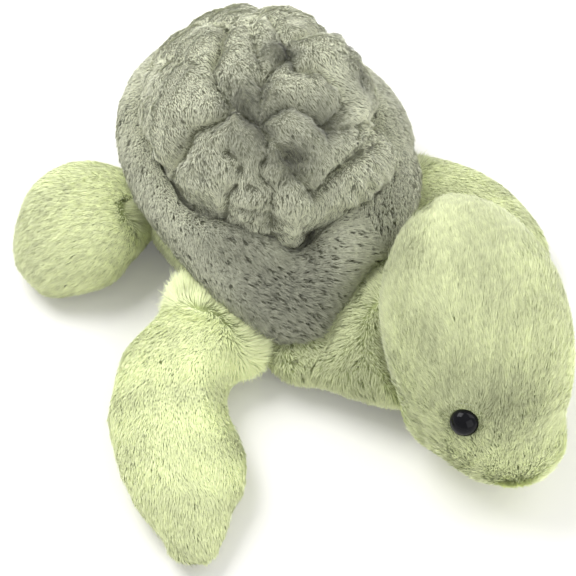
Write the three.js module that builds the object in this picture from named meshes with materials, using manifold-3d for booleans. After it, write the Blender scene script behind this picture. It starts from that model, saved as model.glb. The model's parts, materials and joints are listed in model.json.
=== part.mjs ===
// A plush sea turtle: a quilted shell with a stuffed roll round its edge, on a green body with a drooping head
// and four flippers. Millimetres. +Z is up, the nose points to -Y, and +X is the turtle's left.
// The origin is under the belly, on the surface that the toy rests on.
import * as THREE from "three";
import { mergeVertices } from "three/addons/utils/BufferGeometryUtils.js";
import Module from "manifold-3d";

const wasm = await Module();
wasm.setup();

// Driving dimensions
const CLOTH = 3; // plush fabric, its pile pressed flat
const GAP = 0.4; // between pieces that touch on the real toy
const SWING_GAP = 1; // between pieces that turn against each other
const FLAT = 0.5; // how deep the stuffing is pressed flat by what the toy rests on
const ROLL_HEIGHT = 12; // half of the edge roll's thickness
const ROLL_WIDTH = 14; // half of its width along the sides
const ROLL_FRONT_WIDTH = 25; // half of its width over the neck
const ROLL_SIDE_TILT = 8; // degrees that its outer edge hangs down along the sides
const ROLL_FRONT_TILT = 28;
const FRONT_FROM = -5; // how far before the origin the roll starts to widen, and where it is widest
const FRONT_TO = 50;
const SEAM_WIDTH = 28; // of the roll's open seam, which faces the dome
const SEAM_HEIGHT = 6;
const SHELL_TOP = 109;
const SHELL_MIDDLE = [2, 22];
const SHELL_FULLNESS = 2.6; // higher is boxier
const DOME_SETBACK = 5; // from the middle of the edge roll in to the dome's foot, along the sides
const DOME_FRONT_SETBACK = 17;
const LOBE_RISE = 9; // from a crease to the top of a lobe
const LOBE_LEVEL = 0.6; // the share of it that lies below the smooth dome
const LOBE_REACH = 17; // how far a lobe slopes
const LINING_MIDDLE = [0, 15, 40]; // the lining under the shell, higher at the rear
const LINING_SLOPE = 5.5; // degrees
const LINING_CLOTH = 1.5;
const BELLY_HALF_WIDTH = 66;
const BELLY_FRONT = -52;
const BELLY_REAR = 88;
const BELLY_TOP = 58; // before it is cut by the lining
const BAG_PLACE = [0, 20, 6]; // the bag of pellets that weighs the toy down
const BAG_RADIUS = 38;
const BAG_HEIGHT = 16;
const EYE_DIAMETER = 12.5;
const EYE_ALONG = 0.8; // share of the way from the back of the head to the snout
const EYE_FROM_CROWN = 72; // degrees round the head, each way
const HEAD_ROLL = 40; // degrees that the crown leans to the turtle's left
const HEAD_OPENING = 40; // across, where the neck is sewn on
const EYE_PROUD = 0.6; // from the cloth to the back of the eye
const SHANK_DIAMETER = 5;
const SHANK_LENGTH = 12;
const WASHER_DIAMETER = 17;
const WASHER_THICKNESS = 2;
const WASHER_SINK = 1; // behind the cloth
const THREAD_DIAMETER = 1.6;

// Where the joints turn: a vertical line for the neck, and level lines for the head and the flippers
const NECK_PIVOT = [-3, -50, 18];
const NECK_TURN = 15; // degrees each way
const HEAD_PIVOT = [3, -98, 32];
const HEAD_AXIS = [-0.86, 0.51, 0];
const HEAD_NOD = [-5, 20]; // the snout is nearly on the floor
const FLAP = [-30, 20];
const FLAP_UNDER_HEAD = [-30, 5]; // the head lies close over the left front flipper

// Materials
const greenPlush = { color: "#c9d79b", roughness: 0.95, metalness: 0 };
const greyPlush = { color: "#8f9080", roughness: 0.95, metalness: 0 };
const polyesterFill = { color: "#f4f3ee", roughness: 1, metalness: 0 };
const liningCloth = { color: "#8d8c84", roughness: 0.9, metalness: 0 };
const pelletCloth = { color: "#e6e1d2", roughness: 0.9, metalness: 0 };
const blackPlastic = { color: "#0b0b0d", roughness: 0.15, metalness: 0 };
const whitePlastic = { color: "#e9e9e6", roughness: 0.5, metalness: 0 };
const greyThread = { color: "#6f7064", roughness: 0.8, metalness: 0 };

const toy = new THREE.Group();
const vector = (x, y, z) => new THREE.Vector3(x, y, z);
const mix = THREE.MathUtils.lerp;
const radians = THREE.MathUtils.degToRad;

// A closed skin from rings of points that run the same way round, with a pole at each end.
function skin(rings, firstPole, lastPole) {
  const count = rings[0].length;
  const points = [firstPole, ...rings.flat(), lastPole];
  const last = points.length - 1;
  const faces = [];
  for (let i = 0; i < count; i++) {
    const next = (i + 1) % count;
    faces.push(0, 1 + next, 1 + i);
    for (let r = 0; r < rings.length - 1; r++) {
      const a = 1 + r * count;
      const b = a + count;
      faces.push(a + i, a + next, b + next, a + i, b + next, b + i);
    }
    faces.push(last, last - count + i, last - count + next);
  }
  return new THREE.BufferGeometry().setFromPoints(points).setIndex(faces);
}

// Rings that close on themselves, such as a roll.
function loopSkin(rings) {
  const count = rings[0].length;
  const faces = [];
  for (let r = 0; r < rings.length; r++) {
    for (let i = 0; i < count; i++) {
      const next = (i + 1) % count;
      const a = r * count;
      const b = ((r + 1) % rings.length) * count;
      faces.push(a + i, a + next, b + next, a + i, b + next, b + i);
    }
  }
  return new THREE.BufferGeometry().setFromPoints(rings.flat()).setIndex(faces);
}

// A geometry as a solid for cutting and joining, turned the right way out if its faces point in.
function solidOf(geometry) {
  const bare = geometry.clone();
  bare.deleteAttribute("normal");
  bare.deleteAttribute("uv");
  const merged = mergeVertices(bare, 1e-3);
  const vertProperties = new Float32Array(merged.attributes.position.array);
  const triVerts = new Uint32Array(merged.index.array);
  const made = new wasm.Manifold(new wasm.Mesh({ numProp: 3, vertProperties, triVerts }));
  if (made.volume() > 0) return made;
  return new wasm.Manifold(new wasm.Mesh({ numProp: 3, vertProperties, triVerts: triVerts.reverse() }));
}

function geometryOf(solid) {
  const mesh = solid.getMesh();
  const width = mesh.numProp;
  const positions = new Float32Array(mesh.numVert * 3);
  for (let i = 0; i < mesh.numVert; i++) {
    positions.set(mesh.vertProperties.subarray(i * width, i * width + 3), i * 3);
  }
  const geometry = new THREE.BufferGeometry();
  geometry.setAttribute("position", new THREE.BufferAttribute(positions, 3));
  geometry.setIndex(new THREE.BufferAttribute(mesh.triVerts, 1));
  geometry.computeVertexNormals();
  return geometry;
}

// The largest body of a solid, without the crumbs that a cut can leave.
function mainBody(solid) {
  return solid.decompose().sort((a, b) => b.volume() - a.volume())[0];
}

function addPiece(name, solid, finish) {
  const mesh = new THREE.Mesh(geometryOf(mainBody(solid)), new THREE.MeshStandardMaterial(finish));
  mesh.name = name;
  toy.add(mesh);
}

// A solid turned about a line through a pivot.
function turned(solid, pivot, axis, degrees) {
  const turn = new THREE.Matrix4().makeRotationAxis(vector(...axis).normalize(), radians(degrees));
  const away = new THREE.Matrix4().makeTranslation(...pivot);
  const back = new THREE.Matrix4().makeTranslation(...pivot.map((value) => -value));
  return solid.transform(away.multiply(turn).multiply(back).elements);
}

// Solids in every place that a joint takes them to.
function everyPlace(solids, { pivot, axis, angles }) {
  return solids.flatMap((solid) => angles.map((angle) => turned(solid, pivot, axis, angle)));
}

// The same joint as its own moving piece sees it: the rest of the toy turns the other way.
function seenFrom({ pivot, axis, angles }) {
  return { pivot, axis, angles: angles.map((angle) => -angle) };
}

function union(solids) {
  return solids.reduce((all, one) => all.add(one));
}

// The half space above or below a level plane, or the sloping plane of the lining.
function halfSpace(height, above, sloping) {
  const size = 600;
  const slab = new THREE.BoxGeometry(size, size, size).translate(0, 0, (above ? 1 : -1) * (size / 2) + height);
  if (sloping) slab.rotateX(radians(LINING_SLOPE)).translate(...LINING_MIDDLE);
  return solidOf(slab);
}

const underFloor = halfSpace(0, false, false);

// A turned piece, such as a pin or a washer, with its axis from one point towards another.
function turnedPiece(profile, from, towards, sides = 12) {
  const points = profile.map(([radius, height]) => new THREE.Vector2(radius, height));
  const geometry = new THREE.LatheGeometry(points, sides);
  const aim = towards.clone().sub(from).normalize();
  geometry.applyQuaternion(new THREE.Quaternion().setFromUnitVectors(vector(0, 1, 0), aim));
  return solidOf(geometry.translate(from.x, from.y, from.z));
}

// Smooth values at t from a list of [t, value, value ...] stations.
function stationAt(stations, t) {
  let i = 1;
  while (i < stations.length - 1 && stations[i][0] < t) i++;
  const a = stations[i - 1];
  const b = stations[i];
  const before = stations[i - 2] ?? a;
  const after = stations[i + 1] ?? b;
  const span = b[0] - a[0];
  const s = THREE.MathUtils.clamp((t - a[0]) / span, 0, 1);
  return a.slice(1).map((value, k) => {
    const slopeA = ((b[k + 1] - before[k + 1]) / (b[0] - before[0])) * span;
    const slopeB = ((after[k + 1] - value) / (after[0] - a[0])) * span;
    const s2 = s * s;
    const s3 = s2 * s;
    return (
      (2 * s3 - 3 * s2 + 1) * value + (s3 - 2 * s2 + s) * slopeA +
      (3 * s2 - 2 * s3) * b[k + 1] + (s3 - s2) * slopeB
    );
  });
}

// A stuffed limb that swells and tapers along its spine, rounded off at both ends.
// A station is [t, half width, height above the spine, depth below it].
class Limb {
  constructor({ spine, stations, roundStart, roundEnd }) {
    this.curve = new THREE.CatmullRomCurve3(spine.map((p) => vector(...p)), false, "centripetal");
    this.length = this.curve.getLength();
    Object.assign(this, { stations, roundStart, roundEnd });
  }

  // The point at t along the limb and at an angle round it, with the skin moved in by inset.
  pointAt(t, angle, inset = 0) {
    const at = THREE.MathUtils.clamp(mix(inset / this.length, 1 - inset / this.length, t), 0, 1);
    const along = this.curve.getTangentAt(at);
    const side = vector(0, 0, 1).cross(along).normalize();
    const up = along.clone().cross(side);
    const starting = Math.sqrt(1 - Math.max(0, 1 - t / this.roundStart) ** 2);
    const ending = Math.sqrt(1 - Math.max(0, 1 - (1 - t) / this.roundEnd) ** 2);
    const sizes = stationAt(this.stations, at).map((size) => Math.max(size - inset, 1) * starting * ending);
    const [width, top, bottom] = sizes;
    const rise = Math.sin(angle);
    return this.curve
      .getPointAt(at)
      .addScaledVector(side, width * Math.cos(angle))
      .addScaledVector(up, (rise > 0 ? top : bottom) * rise);
  }

  solid(inset, around, rings) {
    const made = [];
    for (let r = 1; r < rings; r++) {
      const t = (1 - Math.cos((Math.PI * r) / rings)) / 2;
      made.push(Array.from({ length: around }, (_, i) => this.pointAt(t, (2 * Math.PI * i) / around, inset)));
    }
    const end = (t) => {
      const along = this.curve.getTangentAt(t).multiplyScalar(t === 0 ? inset : -inset);
      return this.curve.getPointAt(t).add(along);
    };
    return solidOf(skin(made, end(0), end(1)));
  }
}

// The middle line of the edge roll. The turtle's right front corner hangs lowest.
const edgePoints = [
  [-7, -40, 44], [18, -36, 46], [38, -24, 47], [50, -6, 47], [58, 18, 49], [61, 44, 51],
  [54, 71, 53], [33, 89, 55], [4, 96, 56], [-22, 89, 55], [-42, 70, 52], [-54, 44, 48],
  [-59, 14, 43], [-59, -12, 38], [-53, -34, 35], [-42, -49, 34], [-25, -46, 40],
];
const edgeLine = new THREE.CatmullRomCurve3(edgePoints.map((p) => vector(...p)), true, "centripetal");

// The level direction from a point of the edge towards the middle of the shell.
function inwardsFrom(point) {
  return vector(SHELL_MIDDLE[0] - point.x, SHELL_MIDDLE[1] - point.y, 0).normalize();
}

// How far a point of the edge belongs to the wide front over the neck, from 0 to 1.
function frontness(point) {
  return THREE.MathUtils.smoothstep(-point.y, FRONT_FROM, FRONT_TO);
}

// A ring that follows the shell's edge and widens over the neck. inwards moves it towards the middle.
function edgeRing({ inset = 0, around = 10, steps = 26, width, height, inwards = 0 }) {
  const rings = Array.from({ length: steps }, (_, s) => {
    const t = s / steps;
    const middle = edgeLine.getPointAt(t);
    const fullWidth = mix(ROLL_WIDTH, ROLL_FRONT_WIDTH, frontness(middle));
    const halfWidth = (width ?? fullWidth) - inset;
    const halfHeight = (height ?? ROLL_HEIGHT) - inset;
    const inside = inwardsFrom(middle);
    inside.z = Math.tan(radians(mix(ROLL_SIDE_TILT, ROLL_FRONT_TILT, frontness(middle))));
    inside.normalize();
    const up = inside.clone().cross(edgeLine.getTangentAt(t)).normalize();
    return Array.from({ length: around }, (_, i) => {
      const angle = (2 * Math.PI * i) / around;
      return middle
        .clone()
        .addScaledVector(inside, inwards * fullWidth + halfWidth * Math.cos(angle))
        .addScaledVector(up, halfHeight * Math.sin(angle));
    });
  });
  return solidOf(loopSkin(rings));
}

// Middles of the sewn lobes on the shell, in plan. The creases lie halfway between them.
const lobes = [
  [-36, 40], [-48, 12], [-16, 54], [-6, 31], [20, 52], [31, 30], [6, 3], [32, 3],
  [31, -18], [-33, 3], [-14, -12], [9, -22], [-1, -33], [-34, -31], [-47, -15],
  [-30, 70], [0, 78], [30, 74], [48, 50], [50, 20],
];

function lobeHeight(x, y) {
  const near = lobes.map(([lx, ly]) => Math.hypot(x - lx, y - ly)).sort((a, b) => a - b);
  const fromCrease = Math.min((near[1] - near[0]) / LOBE_REACH, 1);
  return LOBE_RISE * (fromCrease * (2 - fromCrease) - LOBE_LEVEL);
}

// The shell's dome, from its top down to its foot inside the roll.
function dome(inset, around, rings, sewn) {
  const [mx, my] = SHELL_MIDDLE;
  const place = (out, t) => {
    const edge = edgeLine.getPointAt(t % 1);
    const setback = mix(DOME_SETBACK, DOME_FRONT_SETBACK, frontness(edge));
    const foot = edge.addScaledVector(inwardsFrom(edge), setback + inset);
    const x = mix(mx, foot.x, out);
    const y = mix(my, foot.y, out);
    const rise = (1 - out ** SHELL_FULLNESS) ** 0.5;
    const lobe = sewn ? lobeHeight(x, y) : -LOBE_LEVEL * LOBE_RISE;
    return vector(x, y, mix(foot.z, SHELL_TOP - inset, rise) + lobe * Math.min(1, 3 * (1 - out)));
  };
  const made = [];
  for (let r = 1; r <= rings; r++) {
    const out = Math.sin((Math.PI / 2) * (r / rings)) ** 0.9;
    made.push(Array.from({ length: around }, (_, i) => place(out, i / around)));
  }
  const foot = made[rings - 1].map((p) => vector(p.x, p.y, BELLY_TOP / 4));
  return solidOf(skin([...made, foot], place(0, 0), vector(mx, my, BELLY_TOP / 4)));
}

// The green belly under the shell. Its sides bulge, and it is wide where it rests.
function belly(inset, around) {
  const middle = (BELLY_FRONT + BELLY_REAR) / 2;
  const half = (BELLY_REAR - BELLY_FRONT) / 2 - inset;
  const levels = [[0, 0.82], [4, 0.9], [12, 0.98], [24, 1], [40, 0.99], [BELLY_TOP, 0.97]];
  const rings = levels.map(([height, spread]) =>
    Array.from({ length: around }, (_, i) => {
      const angle = (2 * Math.PI * i) / around;
      const round = (value) => Math.sign(value) * Math.abs(value) ** (2 / 2.2);
      const x = (BELLY_HALF_WIDTH - inset) * spread * round(Math.cos(angle));
      return vector(x, middle + half * spread * round(Math.sin(angle)), height + inset - FLAT);
    }),
  );
  return solidOf(skin(rings, vector(0, middle, inset - FLAT), vector(0, middle, BELLY_TOP + inset)));
}

// Head and neck
const head = new Limb({
  spine: [[34, -66, 64], [13, -97, 60], [-11, -134, 45], [-39, -176, 20]],
  stations: [[0, 38, 30, 32], [0.35, 44, 37, 40], [0.7, 41, 34, 34], [1, 33, 24, 22]],
  roundStart: 0.5,
  roundEnd: 0.42,
});
const neck = new Limb({
  spine: [[-8, -30, 17], [-13, -60, 17], [-10, -92, 20], [-2, -124, 30]],
  stations: [[0, 50, 14, 18], [0.35, 53, 16, 18], [0.75, 41, 22, 22], [1, 34, 24, 26]],
  roundStart: 0.2,
  roundEnd: 0.2,
});

// Flippers. Each one hinges where it is sewn on, and axis is the line of that seam.
const frontStations = [[0, 22, 9, 14], [0.2, 27, 14, 15], [0.45, 30, 16, 15.5], [0.75, 27, 14, 13.5], [1, 18, 9, 9]];
const hindStations = [[0, 24, 13, 17], [0.35, 34, 22, 18.5], [0.7, 35, 21, 17.5], [1, 27, 14, 13]];
const frontLimb = (spine) => new Limb({ spine, stations: frontStations, roundStart: 0.05, roundEnd: 0.28 });
const hindLimb = (spine) => new Limb({ spine, stations: hindStations, roundStart: 0.08, roundEnd: 0.4 });
const flippers = {
  right_front_flipper: {
    limb: frontLimb([
      [-52, -20, 13], [-80, -23, 14.5], [-106, -30, 15], [-125, -50, 14], [-139, -78, 12], [-160, -111, 8.5],
    ]),
    pivot: [-64, -22, 13],
    axis: [0, 1, 0],
  },
  left_front_flipper: {
    limb: frontLimb([[43, -14, 13], [62, -30, 14.5], [66, -57, 14], [62, -86, 12], [50, -112, 8.5]]),
    pivot: [57, -26, 13],
    axis: [-0.62, -0.78, 0],
    flap: FLAP_UNDER_HEAD,
  },
  right_hind_flipper: {
    limb: hindLimb([[-42, 52, 16], [-68, 60, 18], [-93, 68, 17], [-122, 76, 12.5]]),
    pivot: [-60, 57, 14],
    axis: [0.3, 0.95, 0],
  },
  left_hind_flipper: {
    limb: hindLimb([[36, 50, 16], [53, 72, 18], [68, 95, 17], [82, 118, 12.5]]),
    pivot: [46, 66, 14],
    axis: [0.77, -0.64, 0],
  },
};

// Solids that the pieces are cut from and by
const edgeRoll = edgeRing({});
const rollClear = edgeRing({ inset: -GAP });
const overLining = halfSpace(LINING_CLOTH / 2 + GAP, true, true);
const belowLining = halfSpace(-LINING_CLOTH / 2 - GAP, false, true);
const bodyClear = belly(-SWING_GAP, 26).intersect(belowLining).add(edgeRing({ inset: -SWING_GAP }));
const neckClear = neck.solid(-SWING_GAP, 18, 9);
const headClear = head.solid(-SWING_GAP, 22, 13);
const neckJoint = {
  pivot: NECK_PIVOT,
  axis: [0, 0, 1],
  angles: [-1, -2 / 3, -1 / 3, 0, 1 / 3, 2 / 3, 1].map((share) => share * NECK_TURN),
};
const headJoint = { pivot: HEAD_PIVOT, axis: HEAD_AXIS, angles: [HEAD_NOD[0], 0, HEAD_NOD[1]] };
const neckEnds = { ...neckJoint, angles: [-NECK_TURN, 0, NECK_TURN] };

// The tufting threads run from the creases of the shell down to the lining.
const tufts = [[-26, 20], [-20, 0], [4, -6], [18, 14], [-6, 42]];
const threadFrom = ([x, y]) => vector(x, y, LINING_MIDDLE[2] - 10);
const rod = (radius, length) => [[0, 0], [radius, 0], [radius, length], [0, length]];

function shellPieces() {
  const outer = dome(0, 40, 12, true);
  const inner = dome(CLOTH, 22, 7, false);
  const stuffing = dome(CLOTH + GAP, 22, 7, false);
  const up = (foot) => foot.clone().add(vector(0, 0, 1));
  const hole = (foot) => turnedPiece(rod(THREAD_DIAMETER / 2 + GAP, SHELL_TOP), foot, up(foot), 6);
  const holes = tufts.map((place) => hole(threadFrom(place))).reduce((all, one) => all.add(one));
  addPiece("shell_cover", outer.subtract(inner).subtract(rollClear).intersect(overLining), greyPlush);
  addPiece("shell_filling", stuffing.subtract(rollClear).subtract(holes).intersect(overLining), polyesterFill);
  const sheet = halfSpace(-LINING_CLOTH / 2, true, true).subtract(halfSpace(LINING_CLOTH / 2, true, true));
  addPiece("shell_lining", outer.intersect(sheet).subtract(rollClear), liningCloth);
  tufts.forEach((place, i) => {
    const foot = threadFrom(place);
    const strand = turnedPiece(rod(THREAD_DIAMETER / 2, SHELL_TOP), foot, up(foot), 6);
    const within = strand.intersect(overLining).intersect(stuffing);
    addPiece(`tuft_thread_${i + 1}`, within, greyThread);
  });
}

function edgeRollPieces() {
  const seam = edgeRing({ around: 3, width: SEAM_WIDTH / 2, height: SEAM_HEIGHT / 2, inwards: 1 });
  const inner = edgeRing({ inset: CLOTH, around: 6 });
  addPiece("edge_roll_cover", edgeRoll.subtract(inner).subtract(seam), greyPlush);
  addPiece("edge_roll_filling", edgeRing({ inset: CLOTH + SWING_GAP, around: 6 }), polyesterFill);
}

function bodyPieces() {
  const [x, y, z] = BAG_PLACE;
  const above = vector(x, y, BELLY_TOP);
  const pouch = (radius, height, foot) => {
    const half = [[0, 0], [0.8, 0], [1, 0.32], [0.94, 0.64], [0.64, 0.88], [0, 1]];
    return turnedPiece(half.map(([out, up]) => [out * radius, up * height]), vector(x, y, foot), above, 20);
  };
  const room = pouch(BAG_RADIUS + 1, BAG_HEIGHT + 1, z - GAP);
  const way = turnedPiece(rod(4, z), vector(x, y, CLOTH - 1), above, 12); // where the bag was put in
  const cover = belly(0, 28).subtract(belly(CLOTH, 20)).subtract(rollClear).subtract(underFloor);
  const stuffing = belly(CLOTH + GAP, 20).subtract(rollClear).subtract(room).subtract(way);
  addPiece("belly_cover", cover.intersect(belowLining), greenPlush);
  addPiece("body_filling", stuffing.intersect(belowLining), polyesterFill);
  addPiece("pellet_bag", pouch(BAG_RADIUS, BAG_HEIGHT, z), pelletCloth);
}

function neckPieces() {
  const bodySweep = union(everyPlace([bodyClear], seenFrom(neckJoint)));
  const headSweep = union(everyPlace([headClear], headJoint));
  const cut = (solid) => solid.subtract(bodySweep).subtract(headSweep).subtract(underFloor);
  addPiece("neck_cover", cut(neck.solid(0, 18, 9).subtract(neck.solid(CLOTH, 12, 7))), greenPlush);
  addPiece("neck_filling", cut(neck.solid(CLOTH + GAP, 12, 7)), polyesterFill);
}

// A safety eye at an angle round the head: the eye, its washer, and what they take from the cover and the filling.
function eyeAt(angle) {
  const seat = head.pointAt(EYE_ALONG, angle);
  const outwards = seat.clone().sub(head.pointAt(EYE_ALONG, angle, SHANK_LENGTH)).normalize();
  const made = (profile, height) => {
    const foot = seat.clone().addScaledVector(outwards, height);
    return turnedPiece(profile, foot, foot.clone().add(outwards), 14);
  };
  const r = EYE_DIAMETER / 2;
  const bore = SHANK_DIAMETER / 2 + GAP;
  const edge = WASHER_DIAMETER / 2;
  const shank = [[0, -SHANK_LENGTH], [SHANK_DIAMETER / 2, -SHANK_LENGTH], [SHANK_DIAMETER / 2, 0]];
  const cap = [[r, 0], [r, 0.16 * r], [0.87 * r, 0.45 * r], [0.5 * r, 0.75 * r], [0, 0.86 * r]];
  const ring = [[bore, 0], [edge, 0], [edge, WASHER_THICKNESS], [bore, WASHER_THICKNESS], [bore, 0]];
  const behind = -CLOTH - WASHER_SINK - WASHER_THICKNESS;
  return {
    eye: made([...shank, ...cap], EYE_PROUD),
    washer: made(ring, behind),
    fromCover: made(rod(bore, SHANK_LENGTH + EYE_PROUD), -SHANK_LENGTH)
      .add(made(rod(r + GAP, SHANK_LENGTH), EYE_PROUD - GAP))
      .add(made(rod(edge + GAP, WASHER_THICKNESS + 2 * GAP), behind - GAP)),
    fromFilling: made(rod(edge + SWING_GAP, 2 * SHANK_LENGTH), -SHANK_LENGTH - SWING_GAP),
  };
}

function headPieces() {
  const crown = 90 - HEAD_ROLL;
  const eyes = { right: eyeAt(radians(crown + EYE_FROM_CROWN)), left: eyeAt(radians(crown - EYE_FROM_CROWN)) };
  const inside = head.curve.getPointAt(0.45);
  const below = vector(...HEAD_PIVOT).setZ(HEAD_PIVOT[2] - 8);
  const opening = turnedPiece(rod(HEAD_OPENING / 2, below.distanceTo(inside) * 1.5), below, inside, 16);
  const bodySweep = union(everyPlace(everyPlace([bodyClear], seenFrom(neckEnds)), seenFrom(headJoint)));
  let cover = head.solid(0, 22, 12).subtract(head.solid(CLOTH, 14, 8)).subtract(opening).subtract(bodySweep);
  let filling = head.solid(CLOTH + GAP, 14, 8).subtract(bodySweep);
  for (const [side, { eye, washer, fromCover, fromFilling }] of Object.entries(eyes)) {
    addPiece(`${side}_eye`, eye, blackPlastic);
    addPiece(`${side}_eye_washer`, washer, whitePlastic);
    cover = cover.subtract(fromCover);
    filling = filling.subtract(fromFilling);
  }
  addPiece("head_cover", cover, greenPlush);
  addPiece("head_filling", filling, polyesterFill);
}

function flipperPieces() {
  const ahead = everyPlace([neckClear, ...everyPlace([headClear], headJoint)], neckEnds);
  for (const [name, { limb, pivot, axis, flap = FLAP }] of Object.entries(flippers)) {
    const joint = { pivot, axis, angles: [flap[0], 0, flap[1]] };
    const near = name.includes("front") ? [bodyClear, ...ahead] : [bodyClear];
    const room = union(everyPlace(near, seenFrom(joint))).add(underFloor);
    const cover = limb.solid(0, 14, 10).subtract(limb.solid(CLOTH, 10, 6));
    addPiece(`${name}_cover`, cover.subtract(room), greenPlush);
    addPiece(`${name}_filling`, limb.solid(CLOTH + GAP, 10, 6).subtract(room), polyesterFill);
  }
}

shellPieces();
edgeRollPieces();
bodyPieces();
neckPieces();
headPieces();
flipperPieces();

export default toy;
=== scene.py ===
import json
import math

import bpy
import numpy as np
from bpy.props import FloatProperty, FloatVectorProperty, IntProperty, PointerProperty
from mathutils import Matrix, Vector
from mathutils.bvhtree import BVHTree
from mathutils.kdtree import KDTree

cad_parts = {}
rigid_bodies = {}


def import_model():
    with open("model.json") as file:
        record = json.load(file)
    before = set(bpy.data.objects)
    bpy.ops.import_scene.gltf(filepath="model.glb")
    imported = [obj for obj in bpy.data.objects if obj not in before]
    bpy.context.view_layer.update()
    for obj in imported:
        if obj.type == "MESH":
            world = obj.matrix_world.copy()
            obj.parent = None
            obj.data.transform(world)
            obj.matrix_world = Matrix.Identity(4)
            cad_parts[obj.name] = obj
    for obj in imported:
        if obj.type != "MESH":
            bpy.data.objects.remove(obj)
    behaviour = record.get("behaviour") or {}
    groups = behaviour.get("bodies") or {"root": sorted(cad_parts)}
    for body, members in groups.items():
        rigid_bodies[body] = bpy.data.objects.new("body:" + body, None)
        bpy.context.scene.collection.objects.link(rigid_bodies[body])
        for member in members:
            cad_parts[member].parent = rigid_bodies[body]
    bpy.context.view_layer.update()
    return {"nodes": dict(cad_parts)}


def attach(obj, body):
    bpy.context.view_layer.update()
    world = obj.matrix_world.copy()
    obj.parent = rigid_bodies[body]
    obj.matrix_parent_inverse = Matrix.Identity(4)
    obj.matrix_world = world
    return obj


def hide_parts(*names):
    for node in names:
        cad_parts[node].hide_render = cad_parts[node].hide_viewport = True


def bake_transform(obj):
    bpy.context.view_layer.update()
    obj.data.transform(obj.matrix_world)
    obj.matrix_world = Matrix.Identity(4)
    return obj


bl_info = {
    "name": "Plush turtle",
    "version": (1, 0, 0),
    "blender": (4, 5, 0),
    "location": "View3D > Sidebar > Turtle",
    "description": "Dresses a stuffed turtle in its plush skins and pile",
    "category": "Object",
}

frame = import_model()

MM = 0.001
PILE_MAP = "OFBake"  # the pile's map: tone across, root to tip up
SENSOR = 36  # millimetres, the camera's sensor
PHOTO_WIDTH, PHOTO_FOCAL = 576, 1457  # pixels
CLEARANCE = 1.2 * MM  # how deep inside another skin the pile may still grow
REST_HEIGHT = 0.5 * MM  # a skin's lowest height over the surface that the turtle rests on


def linear(code):
    """A colour such as #aabbcc as linear red, green and blue."""
    parts = [int(code[i:i + 2], 16) / 255 for i in (1, 3, 5)]
    return tuple(c / 12.92 if c <= 0.04045 else ((c + 0.055) / 1.055) ** 2.4 for c in parts)


class TurtlePileSettings(bpy.types.PropertyGroup):
    """Sizes and colours of the plush pile."""

    green_length: FloatProperty(
        name="Green pile", description="Length of the green pile", default=4.4 * MM, min=0, unit="LENGTH")
    grey_length: FloatProperty(
        name="Grey pile", description="Length of the edge roll's pile", default=3.8 * MM, min=0, unit="LENGTH")
    quilt_length: FloatProperty(
        name="Quilt pile", description="Length of the quilted dome's pile", default=2.9 * MM, min=0, unit="LENGTH")
    width: FloatProperty(
        name="Lock width", description="Width of a lock of pile at its middle", default=0.36 * MM, min=0,
        unit="LENGTH")
    green_root: FloatVectorProperty(
        name="Green root", description="Green pile at its root", default=linear("#c3cf90"), subtype="COLOR")
    green_tip: FloatVectorProperty(
        name="Green tip", description="Green pile at its tip", default=linear("#eff6c3"), subtype="COLOR")
    grey_root: FloatVectorProperty(
        name="Grey root", description="The shell's pile at its root", default=linear("#a2a48c"), subtype="COLOR")
    grey_tip: FloatVectorProperty(
        name="Grey tip", description="The shell's pile at its tip", default=linear("#d6d8c0"), subtype="COLOR")


class TurtleFormSettings(bpy.types.PropertyGroup):
    """Sizes of the stuffed forms."""

    step: FloatProperty(
        name="Skin step", description="Step of a skin before it is stuffed", default=4.5 * MM, unit="LENGTH")
    pressure: FloatProperty(
        name="Stuffing", description="How hard the stuffing presses on a skin", default=4, min=0)
    give: FloatProperty(
        name="Give", description="The most that a skin may stretch outwards", default=2.5 * MM, unit="LENGTH")
    quilt_rise: FloatProperty(
        name="Quilt", description="From a crease of the shell to the top of a lobe", default=11 * MM, unit="LENGTH")
    quilt_reach: FloatProperty(
        name="Quilt slope", description="How far a lobe slopes from its crease", default=10 * MM, unit="LENGTH")
    eye_diameter: FloatProperty(
        name="Eye", description="Diameter of a safety eye", default=12.5 * MM, unit="LENGTH")


class TurtleStageSettings(bpy.types.PropertyGroup):
    """The camera and the light."""

    azimuth: FloatProperty(
        name="Azimuth", description="Camera's turn round the turtle", default=math.radians(-42), subtype="ANGLE")
    elevation: FloatProperty(
        name="Elevation", description="Camera's height over the horizon", default=math.radians(52), subtype="ANGLE")
    distance: FloatProperty(
        name="Distance", description="From the camera to its target", default=0.68, unit="LENGTH")
    target: FloatVectorProperty(
        name="Target", description="The point in the picture's middle", default=(-0.0447, -0.042, 0.04),
        subtype="TRANSLATION")
    focal: FloatProperty(
        name="Focal length", description="In millimetres, on a 36 mm sensor",
        default=PHOTO_FOCAL / PHOTO_WIDTH * SENSOR)
    seed: IntProperty(
        name="Seed", description="Changes every random choice", default=7, min=0)


def settings(group):
    return getattr(bpy.context.scene, group)


# Selecting and simple modelling

def pick(*objects):
    """Selects only these objects and makes the first one active."""
    bpy.ops.object.select_all(action="DESELECT")
    for obj in objects:
        obj.select_set(True)
    bpy.context.view_layer.objects.active = objects[0]
    return objects[0]


def apply_modifier(obj, kind, **values):
    pick(obj)
    modifier = obj.modifiers.new(kind, kind)
    for name, value in values.items():
        setattr(modifier, name, value)
    bpy.ops.object.modifier_apply(modifier=modifier.name)
    return obj


def copy_of(node):
    """A loose copy of a CAD node, with its doubled points merged."""
    obj = bpy.data.objects.new(node, frame["nodes"][node].data.copy())
    bpy.context.scene.collection.objects.link(obj)
    pick(obj)
    bpy.ops.object.mode_set(mode="EDIT")
    bpy.ops.mesh.select_all(action="SELECT")
    bpy.ops.mesh.remove_doubles(threshold=0.001 * MM)
    bpy.ops.object.mode_set(mode="OBJECT")
    return obj


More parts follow.
